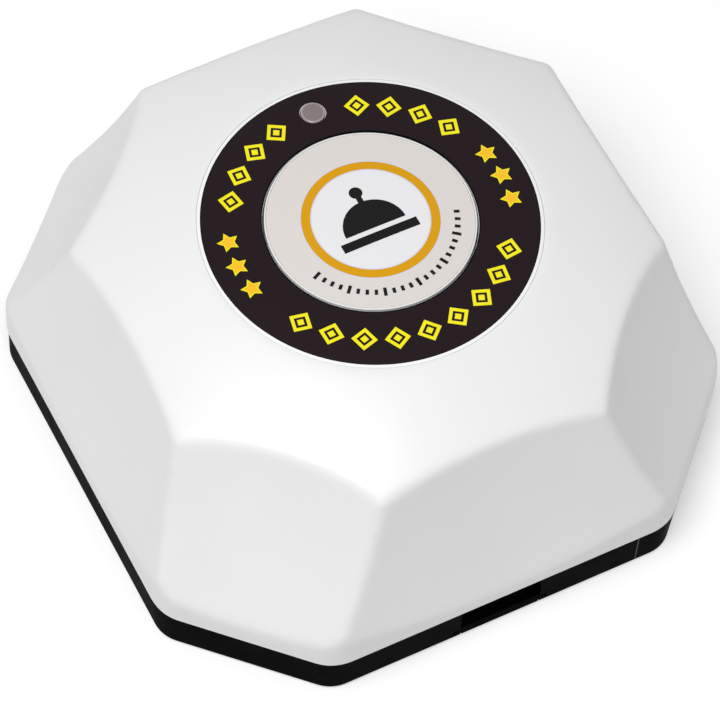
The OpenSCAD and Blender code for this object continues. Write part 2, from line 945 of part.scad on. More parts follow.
module chip_capacitors() {
    color("#b39a72") {
        on_board(left_row_x, left_row_y + 2 * row_step)
            small_chip(0, capacitor_h);
        on_board(rear_row_x, rear_row_y)
            small_chip(90, capacitor_h);
        on_board(right_row_x + row_step, right_row_y)
            small_chip(0, capacitor_h);
        on_board(right_row_x, right_row_y + row_step)
            small_chip(90, capacitor_h);
    }
}

module antenna_coil() {
    color("#c98a3c")
        on_board(antenna_from_left, antenna_from_front)
            translate([0, 0, antenna_r + antenna_wire_r + antenna_lift])
                rotate([-90, 0, 0])
                    helix(antenna_r, antenna_wire_r, antenna_l / antenna_turns, antenna_turns,
                          ring_steps, ring_sides);
}

top_cover();
cover_label();
led_light_pipe();
call_button();
button_label();
base_tray();
battery_door();
battery_cell();
contact_spring();
negative_contact();
positive_contact();
circuit_board();
board_screws();
switch_body();
switch_dome();
switch_plunger();
switch_frame();
status_led();
encoder_chip();
saw_resonator();
rf_transistor();
supply_capacitor();
chip_resistors();
chip_capacitors();
antenna_coil();
case_screws();
rubber_feet();
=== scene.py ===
import math

import bpy
from bpy.props import FloatProperty, FloatVectorProperty, IntProperty, PointerProperty
from mathutils import Matrix, Vector


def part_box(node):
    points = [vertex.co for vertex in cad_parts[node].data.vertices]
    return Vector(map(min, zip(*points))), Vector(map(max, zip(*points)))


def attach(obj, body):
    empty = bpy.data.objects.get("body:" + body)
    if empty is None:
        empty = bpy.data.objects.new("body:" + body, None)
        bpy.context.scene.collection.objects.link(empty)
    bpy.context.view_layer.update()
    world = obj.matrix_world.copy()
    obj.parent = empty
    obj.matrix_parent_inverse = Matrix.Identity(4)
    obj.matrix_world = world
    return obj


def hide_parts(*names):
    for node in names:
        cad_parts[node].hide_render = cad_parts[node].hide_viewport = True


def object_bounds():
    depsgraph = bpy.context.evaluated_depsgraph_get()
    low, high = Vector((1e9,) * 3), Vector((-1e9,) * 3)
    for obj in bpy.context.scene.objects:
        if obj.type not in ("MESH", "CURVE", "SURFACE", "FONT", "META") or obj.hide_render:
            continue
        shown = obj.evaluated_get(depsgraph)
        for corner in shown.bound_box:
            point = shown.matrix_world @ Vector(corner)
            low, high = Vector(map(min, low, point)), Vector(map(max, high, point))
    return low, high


bl_info = {
    "name": "Table Call Button",
    "version": (1, 0, 0),
    "blender": (4, 5, 0),
    "location": "View3D > Sidebar > Call Button",
    "description": "Dresses the frame of a call button with its cover, prints, finishes and stage",
    "category": "Object",
}

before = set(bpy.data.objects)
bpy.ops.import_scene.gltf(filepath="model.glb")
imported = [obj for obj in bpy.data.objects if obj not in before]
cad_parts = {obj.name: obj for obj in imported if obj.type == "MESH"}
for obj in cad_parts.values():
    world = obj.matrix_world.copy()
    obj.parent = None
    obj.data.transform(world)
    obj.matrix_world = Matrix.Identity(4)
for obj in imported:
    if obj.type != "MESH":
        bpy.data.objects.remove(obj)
CAD_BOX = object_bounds()

MM = 0.001
COVER_LOW, COVER_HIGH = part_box("top_cover")
RING_LOW, RING_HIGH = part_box("cover_label")
PIPE_LOW, PIPE_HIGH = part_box("led_light_pipe")
BUTTON_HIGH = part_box("call_button")[1]
DISC_LOW, DISC_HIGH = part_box("button_label")
SCREWS_LOW, SCREWS_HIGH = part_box("case_screws")
CELL_LOW, CELL_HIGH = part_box("battery_cell")
BASE_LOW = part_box("base_tray")[0]
SEAM = COVER_LOW.z
PIPE_PLACE = (PIPE_LOW + PIPE_HIGH) / 2
FLANGE = (PIPE_HIGH.x - PIPE_LOW.x) / 2
PAST = MM  # How far a cutting tool reaches past what it cuts
NEAR = 0.01 * MM  # An edge this close to a height counts as lying on it
FACING = 0.9  # A face with more than this of its normal along an axis counts as facing it


# ---- Settings ----

def length(name, description, millimetres):
    return FloatProperty(name=name, description=description, default=millimetres * MM, min=0.0,
                         unit="LENGTH", precision=5)


def angle(name, description, degrees):
    return FloatProperty(name=name, description=description, default=math.radians(degrees),
                         subtype="ANGLE")


def amount(name, description, default):
    return FloatProperty(name=name, description=description, default=default, min=0.0)


def linear(level):
    """Linear value of a screen level from 0 to 255."""
    share = level / 255
    if share <= 0.04045:
        return share / 12.92
    return ((share + 0.055) / 1.055) ** 2.4


def colour(name, description, red, green, blue):
    return FloatVectorProperty(name=name, description=description, subtype="COLOR", size=3,
                               min=0.0, max=1.0, default=[linear(c) for c in (red, green, blue)])


class CoverSizes(bpy.types.PropertyGroup):
    """Sizes of the moulded cover."""
    across_short: length("Across short sides", "Width of the cover across its short sides", 90.3)
    corner_radius: length("Corner radius", "Radius of the upright corners", 5)
    wall: length("Wall", "Thickness of the cover's wall", 1.8)
    skirt_height: length("Skirt", "Height of the upright skirt above the seam", 3.5)
    crown_radius: length("Crown radius", "Radius of the domed crown", 85)
    flat_radius: length("Flat radius", "Radius of the flat round the printed ring", 22)
    scoop_reach: length("Scoop reach", "Distance of a scoop's top edge from the axis", 34)
    scoop_height: length("Scoop height", "Height of the scoops' top corners above the seam", 25)
    scoop_sag: length("Scoop sag", "Depth of the dish in each scooped side", 0.8)
    tool_reach: length("Tool reach", "Radius of the tool that cuts a dish", 30)
    tool_height: length("Tool height", "How far that tool stands out of the side", 14)
    voxel: length("Blend grain", "Grain of the mesh on which the edges are blended", 0.5)
    blend_passes: IntProperty(name="Blend passes", description="Passes that soften the edges",
                              default=16, min=0)
    blend_room: length("Blend room", "Length below the seam that is cut off after the blend", 3)
    recess_gap: length("Recess gap", "Gap between the printed ring and its recess", 0.06)
    well_gap: length("Well gap", "Gap between the button and its well", 0.2)
    well_wall: length("Well wall", "Thickness of the well's wall and floor", 1.6)
    button_height: length("Button height", "Height of the button's rim wall", 4.6)
    button_crown: length("Button crown", "Rise of the button's face towards its middle", 0.35)
    well_depth: length("Well depth", "Room below the button's rim in its well", 0.8)
    guide_radius: length("Guide radius", "Inner radius of the stem guide", 4.05)
    guide_height: length("Guide height", "Height of the guide below the well's floor", 5.2)
    boss_radius: length("Boss radius", "Outer radius of a screw boss", 3.2)
    boss_lift: length("Boss lift", "Height of the bosses' lower ends above the seam", 1)
    head_radius: length("Head radius", "Radius of a case screw's head", 2.5)
    pilot_radius: length("Pilot radius", "Radius of a screw's pilot hole", 1.25)
    pilot_room: length("Pilot room", "Room above a screw in its pilot hole", 0.5)
    rib: length("Rib", "Thickness of the ribs to the bosses", 1.2)
    rib_depth: length("Rib depth", "How far those ribs reach down from the crown", 4)
    pipe_radius: length("Pipe radius", "Radius of the light pipe", 1.55)
    pipe_hole: length("Pipe hole", "Radius of the light pipe's hole in the cover", 1.6)
    # The paler rim is a painted highlight on the light pipe's edge
    pipe_rim: length("Pipe rim", "Inner radius of the light pipe's paler rim", 1.3)
    pipe_bevel: length("Pipe bevel", "Bevel of the light pipe's upper edge", 0.14)
    pipe_wall: length("Pipe wall", "Wall of the tube round the light pipe", 0.5)
    flange_height: length("Flange height", "Height of the light pipe's flange", 1)
    slot_reach: length("Slot reach", "Distance of a hook slot from the axis", 9.4)
    slot_length: length("Slot length", "Length of a hook slot, away from the axis", 2.3)
    slot_width: length("Slot width", "Width of a hook slot", 3.3)
    slot_depth: length("Slot depth", "Height of the tool that cuts a hook slot", 4)
    # The fine line on the band is a raised line whose paler colour paints a highlight
    line_place: length("Line place", "Distance of the witness line from the middle", 19.6)
    line_width: length("Line width", "Width of the witness line", 0.2)
    line_height: length("Line height", "How far the witness line stands out", 0.04)
    line_gap: length("Line gap", "Gap between that line and the band's edges", 0.1)


class PrintSizes(bpy.types.PropertyGroup):
    """Sizes of the printed ring, the printed disc and what is printed on them."""
    ring_turn: angle("Ring turn", "Turn of the printed ring about the axis", -2.7)
    ink: length("Ink", "Height of the ink above the film", 0.04)
    disc: length("Disc", "Thickness of the printed disc with its ink", 0.25)
    ring_gap: length("Ring gap", "Gap between the button and the printed ring", 0.25)
    ring_bevel: length("Ring bevel", "Bevel of the ring's upper edge", 0.04)
    window_radius: length("Window radius", "Radius of the ring's hole for the light pipe", 1.7)
    mark_reach: length("Mark reach", "Distance of the ornaments from the axis", 17.45)
    mark_radius: length("Mark radius", "Half of an ornament's width", 1.62)
    mark_step: angle("Mark step", "Angle from one ornament to the next", 13.35)
    mark_start: amount("Mark start", "Steps from the top to the first ornament each way", 1.38)
    mark_opening: amount("Mark opening", "Share of an ornament that its opening takes", 0.62)
    mark_heart: amount("Mark heart", "Share of an ornament that its heart takes", 0.34)
    star_reach: length("Star reach", "Distance of the stars from the axis", 17.9)
    star_radius: length("Star radius", "Radius of a star's tips", 1.45)
    star_step: angle("Star step", "Angle from one star to the next", 11.8)
    star_waist: amount("Star waist", "Reach of a star's inner corners, as a share", 0.52)
    star_fill: amount("Star fill", "Size of a star's fill, as a share of the star", 0.78)
    border: length("Border", "Width of the pale border round the ring", 0.45)
    keyline: length("Keyline", "Width of the fine line along the ring's edges", 0.12)
    gold_inner: length("Gold inner radius", "Inner radius of the gold band", 7.45)
    gold_outer: length("Gold outer radius", "Outer radius of the gold band", 8.6)
    halo: length("Halo", "Width of the pale lines beside the gold band", 0.16)
    tick_reach: length("Tick reach", "Distance of the small ticks from the axis", 10.75)
    tick_length: length("Tick length", "Length of a small tick", 1.15)
    tick_width: length("Tick width", "Width of a small tick", 0.42)
    tick_share: amount("Tick share", "Length of three ticks in four, as a share", 0.62)
    tick_first: angle("First tick", "Direction of the first tick", 208)
    tick_last: angle("Last tick", "Direction of the last tick", 344)
    tick_count: IntProperty(name="Ticks", description="Number of ticks", default=24, min=2)
    ink_margin: length("Ink margin", "Width of the disc's edge that takes no ink", 0.2)
    bell_foot: length("Bell foot", "Distance of the bell's foot from the axis", 3.3)
    dome_radius: length("Dome radius", "Radius of the bell's dome", 4.1)
    dome_lift: length("Dome lift", "Height of the dome above the foot", 1.9)
    plate: length("Plate", "Length of the bell's plate", 10.4)
    plate_width: length("Plate width", "Width of the plate", 1.25)
    plate_lift: length("Plate lift", "Height of the plate above the foot", 0.6)
    knob_radius: length("Knob radius", "Radius of the bell's knob", 0.85)
    knob_lift: length("Knob lift", "Height of the knob above the foot", 7.5)
    stem: length("Stem", "Length of the knob's stem", 1.6)
    stem_width: length("Stem width", "Width of the stem", 0.75)
    stem_lift: length("Stem lift", "Height of the stem above the foot", 6.4)


class PrintColours(bpy.types.PropertyGroup):
    """Colours of the case and the prints."""
    cover: colour("Cover", "Colour of the moulded cover", 240, 240, 241)
    base: colour("Base", "Colour of the moulded base", 9, 9, 10)
    door: colour("Door", "Colour of the battery door", 4, 4, 5)
    ring: colour("Ring", "Dark ground of the ring", 37, 28, 32)
    # Paler than the base, to paint a highlight along the fine line on the band
    line: colour("Painted highlight line", "Colour of the witness line on the band", 48, 48, 50)
    keyline: colour("Keyline", "Fine line at the ring's edge", 6, 5, 6)
    border: colour("Border", "Pale border of the ring", 250, 250, 251)
    ornament: colour("Ornament", "Ink of the ornaments", 248, 238, 36)
    star: colour("Star", "Ink inside the stars", 255, 198, 44)
    disc: colour("Disc", "Ground of the printed disc", 225, 219, 216)
    gold: colour("Gold", "Gold band of the disc", 221, 160, 18)
    halo: colour("Halo", "Pale lines beside the gold band", 214, 218, 240)
    middle: colour("Middle", "Middle of the disc", 237, 236, 239)
    sign: colour("Sign", "Ink of the bell and the ticks", 8, 8, 9)
    pipe: colour("Light pipe", "Tinted light pipe", 124, 110, 112)
    # Paler than the pipe, to paint a highlight on its rim
    pipe_rim_highlight: colour("Light pipe's rim highlight", "Edge of the light pipe", 160, 146, 148)


class StageSettings(bpy.types.PropertyGroup):
    """Camera, lamps and floor."""
    lens: FloatProperty(name="Lens", description="Focal length of the camera in millimetres",
                        default=200.0, min=1.0)
    camera_turn: angle("Camera turn", "Turn of the view about the axis", 30.81)
    camera_lift: angle("Camera lift", "Height of the view above the horizon", 57.73)
    camera_roll: angle("Camera roll", "Roll of the view", -4.66)
    camera_far: length("Camera distance", "Distance of the camera", 519.5)
    camera_drop: length("Camera drop", "How far the camera is below the line to the seam", 1.02)
    key_power: amount("Key power", "Power of the main lamp in watts", 3.45)
    key_turn: angle("Key turn", "Direction of the main lamp, from +X", 214)
    key_lift: angle("Key lift", "Height of the main lamp above the horizon", 67)
    key_far: length("Key distance", "Distance of the main lamp", 700)
    key_size: length("Key size", "Width of the main lamp", 450)
    sky: amount("Sky", "Strength of the light from all round", 0.32)
    floor_tone: amount("Floor tone", "Share of light that the floor sends back", 0.68)
    floor_glow: amount("Floor glow", "Light added to the floor for the camera", 0.42)


# ---- Selecting and shaping ----

def only(piece):
    """Selects this piece and nothing else."""
    bpy.ops.object.select_all(action="DESELECT")
    piece.select_set(True)
    bpy.context.view_layer.objects.active = piece
    return piece


def open_mesh(kind):
    bpy.ops.object.mode_set(mode="EDIT")
    bpy.ops.mesh.select_mode(type=kind)


def done():
    bpy.ops.object.mode_set(mode="OBJECT")


def edit(piece):
    """Opens the piece for editing, all selected."""
    only(piece)
    open_mesh("FACE")
    bpy.ops.mesh.select_all(action="SELECT")


def deselect_mesh(piece):
    edit(piece)
    bpy.ops.mesh.select_all(action="DESELECT")
    done()


def pick_faces(piece, wanted):
    """Opens the piece for editing, with the faces selected that wanted(normal) picks."""
    deselect_mesh(piece)
    for face in piece.data.polygons:
        face.select = wanted(face.normal)
    open_mesh("FACE")


def bevel_edges(piece, offset, segments, wanted):
    """Bevels the edges that wanted(end, end) picks."""
    deselect_mesh(piece)
    corners = piece.data.vertices
    for line in piece.data.edges:
        line.select = wanted(corners[line.vertices[0]].co, corners[line.vertices[1]].co)
    open_mesh("EDGE")
    bpy.ops.mesh.bevel(offset=offset, segments=segments, affect="EDGES")
    done()


def cut_off(piece, place, outward):
    """Cuts off what lies outwards of a plane through that place, and closes the cut."""
    edit(piece)
    bpy.ops.mesh.bisect(plane_co=place, plane_no=outward, use_fill=True, clear_outer=True)
    done()


def settle(piece):
    """Puts the piece's place into its mesh."""
    only(piece)
    bpy.ops.object.transform_apply(location=True, rotation=True, scale=True)
    return piece


def cylinder(radius, low, high, place=(0.0, 0.0), sides=96):
    bpy.ops.mesh.primitive_cylinder_add(vertices=sides, radius=radius, depth=high - low,
                                        location=(place[0], place[1], (low + high) / 2))
    return settle(bpy.context.object)


def block(size, middle, turn=0.0):
    """Block of that size about its middle, turned about the axis together with its place."""
    place = Matrix.Rotation(turn, 3, "Z") @ Vector(middle)
    bpy.ops.mesh.primitive_cube_add(size=1, location=place, rotation=(0, 0, turn), scale=size)
    return settle(bpy.context.object)


def polygon(corners, radius, low, high, place=(0.0, 0.0), turn=0.0):
    """Upright prism on a regular outline, with its first corner towards turn."""
    bpy.ops.mesh.primitive_circle_add(vertices=corners, radius=radius, fill_type="NGON",
                                      location=(place[0], place[1], low),
                                      rotation=(0, 0, turn - math.radians(90)))
    piece = settle(bpy.context.object)
    edit(piece)
    bpy.ops.mesh.extrude_region_move(TRANSFORM_OT_translate={"value": (0, 0, high - low)})
    bpy.ops.mesh.select_all(action="SELECT")
    bpy.ops.mesh.normals_make_consistent(inside=False)
    done()
    return piece


def polar(reach, turn):
    return Vector((reach * math.cos(turn), reach * math.sin(turn)))


def together(pieces):
    """Joins pieces that don't touch each other."""
    bpy.ops.object.select_all(action="DESELECT")
    for piece in pieces:
        piece.select_set(True)
    bpy.context.view_layer.objects.active = pieces[0]
    bpy.ops.object.join()
    return bpy.context.object


def apply_modifiers(piece):
    only(piece)
    for modifier in list(piece.modifiers):
        bpy.ops.object.modifier_apply(modifier=modifier.name)


def combine(piece, tool, operation):
    modifier = piece.modifiers.new("combine", "BOOLEAN")
    modifier.object = tool
    modifier.operation = operation
    modifier.solver = "EXACT"
    apply_modifiers(piece)
    bpy.data.objects.remove(tool)
    if not piece.data.polygons:
        raise RuntimeError(f"nothing is left of {piece.name} after {operation}")
    return piece


def cut(piece, tool):
    return combine(piece, tool, "DIFFERENCE")


def smooth(piece, degrees=30):
    only(piece)
    bpy.ops.object.shade_smooth_by_angle(angle=math.radians(degrees))


def name_piece(piece, name, material, slot, body, *replaced):
    """Names a finished piece, gives it its material, hangs it on its body's empty and hides the CAD
    nodes that it replaces.
    """
    piece.name = name
    piece.data.name = name
    piece.data.materials.clear()
    piece.data.materials.append(material)
    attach(piece, body)
    if replaced:
        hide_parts(*replaced)
    return piece


# ---- Materials ----

class Finish:
    """A node material that is built up around one Principled shader."""

    def __init__(self, name, roughness, metallic=0.0, specular=0.5):
        self.material = bpy.data.materials.new(name)
        self.material.use_nodes = True
        self.tree = self.material.node_tree
        self.shader = self.tree.nodes["Principled BSDF"]
        self.shader.inputs["Roughness"].default_value = roughness
        self.shader.inputs["Metallic"].default_value = metallic
        self.shader.inputs["Specular IOR Level"].default_value = specular
        self.place = self.node("ShaderNodeTexCoord").outputs["Object"]

    def node(self, kind, **settings):
        node = self.tree.nodes.new(kind)
        for name, value in settings.items():
            setattr(node, name, value)
        return node

    def link(self, output, target):
        self.tree.links.new(output, target)

    def noise(self, grain, detail=3.0, stretch=(1, 1, 1)):
        """Noise with that grain in millimetres, drawn out along an axis by its stretch."""
        mapping = self.node("ShaderNodeMapping")
        mapping.inputs["Scale"].default_value = [1 / s for s in stretch]
        noise = self.node("ShaderNodeTexNoise")
        noise.inputs["Scale"].default_value = 1 / (grain * MM)
        noise.inputs["Detail"].default_value = detail
        self.link(self.place, mapping.inputs["Vector"])
        self.link(mapping.outputs["Vector"], noise.inputs["Vector"])
        return noise.outputs["Fac"]

    def spread(self, value, low, high):
        """Maps a noise, which lies mostly between 0.3 and 0.7, to the range from low to high."""
        span = self.node("ShaderNodeMapRange")
        span.inputs["From Min"].default_value = 0.3
        span.inputs["From Max"].default_value = 0.7
        span.inputs["To Min"].default_value = low
        span.inputs["To Max"].default_value = high
        self.link(value, span.inputs["Value"])
        return span.outputs["Result"]

    def mix(self, factor, first, second):
        """Mixes two colours, each a colour or a socket."""
        mix = self.node("ShaderNodeMix", data_type="RGBA")
        self.link(factor, mix.inputs["Factor"])
        for socket, value in ((mix.inputs["A"], first), (mix.inputs["B"], second)):
            if isinstance(value, bpy.types.NodeSocket):
                self.link(value, socket)
            else:
                socket.default_value = (*value, 1.0)
        return mix.outputs["Result"]

    def math(self, operation, first, second=None):
        step = self.node("ShaderNodeMath", operation=operation)
        for socket, value in zip(step.inputs, (first, second)):
            if isinstance(value, bpy.types.NodeSocket):
                self.link(value, socket)
            elif value is not None:
                socket.default_value = value
        return step.outputs["Value"]

    def tone(self, base, change, grain):
        """The base colour with soft patches that are lighter and darker by that share."""
        dark = [c * (1 - change) for c in base]
        light = [min(1.0, c * (1 + change)) for c in base]
        return self.mix(self.spread(self.noise(grain), 0.0, 1.0), dark, light)

    def paint(self, socket):
        self.link(socket, self.shader.inputs["Base Color"])

    def vary_roughness(self, grain, low, high):
        self.link(self.spread(self.noise(grain), low, high), self.shader.inputs["Roughness"])

    def texture(self, grain, height, strength=1.0, stretch=(1, 1, 1)):
        """Fine relief of that grain and height in millimetres."""
        bump = self.node("ShaderNodeBump")
        bump.inputs["Strength"].default_value = strength
        bump.inputs["Distance"].default_value = height * MM
        self.link(self.noise(grain, stretch=stretch), bump.inputs["Height"])
        self.link(bump.outputs["Normal"], self.shader.inputs["Normal"])

    def bands(self, centre, outer, stops):
        """Rings of colour about an upright axis, each stop an (inner radius, colour)."""
        mapping = self.node("ShaderNodeMapping", vector_type="TEXTURE")
        mapping.inputs["Location"].default_value = (centre[0], centre[1], 0)
        split = self.node("ShaderNodeSeparateXYZ")
        flat = self.node("ShaderNodeCombineXYZ")
        reach = self.node("ShaderNodeVectorMath", operation="LENGTH")
        ramp = self.node("ShaderNodeValToRGB")
        ramp.color_ramp.interpolation = "CONSTANT"
        self.link(self.place, mapping.inputs["Vector"])
        self.link(mapping.outputs["Vector"], split.inputs["Vector"])
        self.link(split.outputs["X"], flat.inputs["X"])
        self.link(split.outputs["Y"], flat.inputs["Y"])
        self.link(flat.outputs["Vector"], reach.inputs[0])
        self.link(self.math("DIVIDE", reach.outputs["Value"], outer), ramp.inputs["Fac"])
        marks = ramp.color_ramp.elements
        while len(marks) < len(stops):
            marks.new(1.0)
        for mark, (radius, tint) in zip(marks, stops):
            mark.position = radius / outer
            mark.color = (*tint, 1.0)
        return ramp.outputs["Color"]


def moulded(name, tint, roughness, grain=0.35, height=0.01, change=0.04, specular=0.5):
    """Moulded plastic with a fine sparked texture."""
    finish = Finish(name, roughness, specular=specular)
    finish.paint(finish.tone(tint, change, 9))
    finish.vary_roughness(4, roughness * 0.9, roughness * 1.12)
    finish.texture(grain, height)
    return finish.material


def cover_plastic(colours):
    """Satin pale plastic with a faint mottle and a few tiny dark specks."""
    finish = Finish("cover_plastic", 0.36)
    ground = finish.tone(colours.cover, 0.012, 14)
    cells = finish.node("ShaderNodeTexVoronoi")
    cells.inputs["Scale"].default_value = 1 / (8 * MM)
    finish.link(finish.place, cells.inputs["Vector"])
    pick = finish.node("ShaderNodeSeparateColor")
    finish.link(cells.outputs["Color"], pick.inputs["Color"])
    small = finish.math("LESS_THAN", cells.outputs["Distance"], 0.018)
    few = finish.math("GREATER_THAN", pick.outputs["Red"], 0.8)
    speck = finish.math("MULTIPLY", small, few)
    grey = [c * 0.45 for c in colours.cover]
    finish.paint(finish.mix(speck, ground, grey))
    finish.vary_roughness(6, 0.32, 0.4)
    finish.texture(0.4, 0.004)
    return finish.material


def printed_film(name, specular, outer, stops):
    """Printed film with rings of colour about the axis."""
    finish = Finish(name, 0.34, specular=specular)
    finish.paint(finish.bands((0, 0), outer, stops))
    finish.vary_roughness(3, 0.3, 0.38)
    finish.texture(0.25, 0.002)
    return finish.material


def ring_print(colours, sizes):
    """Dark film with a fine keyline and a pale border."""
    edge = RING_HIGH.x - sizes.border
    return printed_film("ring_print", 0.04, RING_HIGH.x, [
        (0, colours.keyline),
        (BUTTON_HIGH.x + sizes.ring_gap + sizes.keyline, colours.ring),
        (edge - sizes.keyline, colours.keyline),
        (edge, colours.border),
    ])


def disc_print(colours, sizes):
    """Pale film with a gold band between two fine lines."""
    return printed_film("disc_print", 0.15, DISC_HIGH.x, [
        (0, colours.middle),
        (sizes.gold_inner - sizes.halo, colours.halo),
        (sizes.gold_inner, colours.gold),
        (sizes.gold_outer, colours.halo),
        (sizes.gold_outer + sizes.halo, colours.disc),
    ])


def ink(name, tint):
    """Printed ink with a faint unevenness."""
    finish = Finish(name, 0.38, specular=0.15)
    finish.paint(finish.tone(tint, 0.03, 1.5))
    finish.texture(0.12, 0.002)
    return finish.material


def light_pipe(colours, sizes):
    """Tinted clear plastic, seen as a grey window with a paler rim that is a painted highlight."""
    finish = Finish("light_pipe", 0.16)
    # The paler outer band is a painted highlight on the pipe's rim
    finish.paint(finish.bands(PIPE_PLACE, FLANGE, [
        (0, colours.pipe),
        (sizes.pipe_rim, colours.pipe_rim_highlight),
    ]))
    finish.shader.inputs["Coat Weight"].default_value = 0.4
    finish.texture(0.5, 0.003)
    return finish.material


def plated_steel():
    """Nickel-plated steel with fine draw lines."""
    finish = Finish("plated_steel", 0.28, metallic=1.0)
    finish.paint(finish.tone((0.62, 0.62, 0.6), 0.06, 1.5))
    finish.vary_roughness(0.8, 0.22, 0.36)
    finish.texture(0.06, 0.004, stretch=(1, 12, 1))
    return finish.material


def board_laminate():
    """Green solder mask with paler tracks and a weave below it."""
    finish = Finish("board_laminate", 0.3)
    tracks = finish.node("ShaderNodeTexBrick", offset=0.35, squash=1.6, squash_frequency=3)
    tracks.inputs["Scale"].default_value = 1 / (4 * MM)
    tracks.inputs["Mortar Size"].default_value = 0.06
    tracks.inputs["Mortar Smooth"].default_value = 0.1
    finish.link(finish.place, tracks.inputs["Vector"])
    mask = finish.tone((0.02, 0.12, 0.04), 0.15, 0.5)
    finish.paint(finish.mix(tracks.outputs["Fac"], mask, (0.05, 0.22, 0.08)))
    finish.texture(0.2, 0.006)
    return finish.material


def cell_sleeve():
    """Shrunk film with a faint wrinkle, and bright metal at the two ends."""
    finish = Finish("cell_sleeve", 0.3)
    split = finish.node("ShaderNodeSeparateXYZ")
    finish.link(finish.place, split.inputs["Vector"])
    along = finish.node("ShaderNodeMapRange")
    along.inputs["From Min"].default_value = CELL_LOW.y
    along.inputs["From Max"].default_value = CELL_HIGH.y
    finish.link(split.outputs["Y"], along.inputs["Value"])
    near = finish.math("LESS_THAN", along.outputs["Result"], 0.03)
    far = finish.math("GREATER_THAN", along.outputs["Result"], 0.955)
    metal = finish.math("ADD", near, far)
    film = finish.tone((0.05, 0.08, 0.14), 0.1, 3)
    finish.paint(finish.mix(metal, film, (0.6, 0.6, 0.58)))
    finish.link(metal, finish.shader.inputs["Metallic"])
    finish.texture(1.2, 0.01, stretch=(1, 6, 1))
    return finish.material


def copper_wire():
    """Enamelled copper wire."""
    finish = Finish("copper_wire", 0.25, metallic=1.0)
    finish.paint(finish.tone((0.7, 0.32, 0.1), 0.12, 0.7))
    finish.texture(0.1, 0.003)
    finish.shader.inputs["Coat Weight"].default_value = 0.6
    return finish.material


def clear_lamp():
    """Water-clear lamp body."""
    finish = Finish("lamp", 0.1)
    finish.paint(finish.tone((0.8, 0.83, 0.85), 0.04, 1))
    finish.shader.inputs["Transmission Weight"].default_value = 0.8
    finish.texture(0.3, 0.002)
    return finish.material


def dress(material, *nodes):
    """Gives CAD nodes a material."""
    for name in nodes:
        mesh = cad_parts[name].data
        mesh.materials.clear()
        mesh.materials.append(material)


# ---- Form of the case ----

def case_prism(sizes, set_in, low, high):
    """Octagon with rounded upright corners, set in from the cover's outline."""
    long_reach = COVER_HIGH.x - set_in
    short_reach = sizes.across_short / 2 - set_in
    radius = sizes.corner_radius - set_in
    height = high - low
    piece = block((2 * long_reach, 2 * long_reach, height), (0, 0, (low + high) / 2))
    for k in range(4):
        outward = Vector((*polar(1.0, math.radians(45 + 90 * k)), 0))
        cut_off(piece, outward * short_reach, outward)
    trim = radius * math.tan(math.radians(22.5))
    bevel_edges(piece, trim, 8, lambda a, b: abs(a.z - b.z) > height / 2)
    return piece


def side_half(reach, next_reach):
    """Half the width of an octagon's side where it meets the next one, which has its own reach."""
    return (next_reach - reach * math.cos(math.radians(45))) / math.sin(math.radians(45))


def round_end(piece, up, radius, steps, height):
    """Insets the flat end on that side ring by ring, so that it follows height(radius)."""
    pick_faces(piece, lambda normal: normal.z * up > FACING)
    for k in range(steps - 1):
        near, far = radius * (1 - k / steps), radius * (1 - (k + 1) / steps)
        bpy.ops.mesh.inset(thickness=near - far, depth=up * (height(far) - height(near)))
    done()


def cap(sizes, radius, lift, middle, outward):
    """Plug whose inner end is part of a ball with its centre at lift outwards of the middle."""
    def height(r):
        return lift - math.sqrt(radius ** 2 - r ** 2)

    reach = sizes.tool_reach
    # An odd number of sides keeps its corners off the bosses' planes, where the boolean fails
    piece = cylinder(reach, height(reach), sizes.tool_height, sides=125)
    round_end(piece, -1, reach, 20, height)
    piece.location = middle
    piece.rotation_euler = outward.to_track_quat("Z", "Y").to_euler()
    return settle(piece)


def cut_scoops(piece, sizes, set_in):
    """Cuts the eight scooped sides, each a shallow dish that is part of a large ball."""
    sag = sizes.scoop_sag
    low, high = SEAM + sizes.skirt_height, SEAM + sizes.scoop_height
    reaches = [sizes.across_short / 2 if k % 2 else COVER_HIGH.x for k in range(9)]
    for k in range(8):
        reach = reaches[k]
        run, rise = reach - sizes.scoop_reach, high - low
        half = (side_half(reach, reaches[k + 1])
                + side_half(sizes.scoop_reach, sizes.scoop_reach)) / 2
        radius = (half ** 2 + sag ** 2) / (2 * sag)
        turn = math.radians(45 * k)
        outward = Vector((*polar(rise, turn), run)).normalized()
        middle = Vector((*polar((reach + sizes.scoop_reach) / 2, turn), (low + high) / 2))
        cut(piece, cap(sizes, radius + set_in, radius - sag, middle, outward))
    return piece


def cover_form(sizes, set_in, low):
    """The cover's outer form, or the same form set in by the wall."""
    crown = sizes.crown_radius
    crown_z = COVER_HIGH.z - math.sqrt(crown ** 2 - sizes.flat_radius ** 2)
    piece = case_prism(sizes, set_in, low, COVER_HIGH.z - set_in)
    bpy.ops.mesh.primitive_uv_sphere_add(segments=192, ring_count=192, radius=crown - set_in,
                                         location=(0, 0, crown_z))
    combine(piece, settle(bpy.context.object), "INTERSECT")
    return cut_scoops(piece, sizes, set_in)


def rim_of_button(sizes):
    """Height of the button's rim."""
    return DISC_HIGH.z - sizes.button_crown


def face_of_button(sizes, radius):
    """Height of the printed disc at a distance from the axis."""
    return rim_of_button(sizes) + sizes.button_crown * (1 - (radius / BUTTON_HIGH.x) ** 2)


def screw_places(sizes):
    """Places of the four case screws."""
    reach = (SCREWS_HIGH.x - SCREWS_LOW.x) / 2 - sizes.head_radius
    return [(x * reach, y * reach) for x in (-1, 1) for y in (-1, 1)]


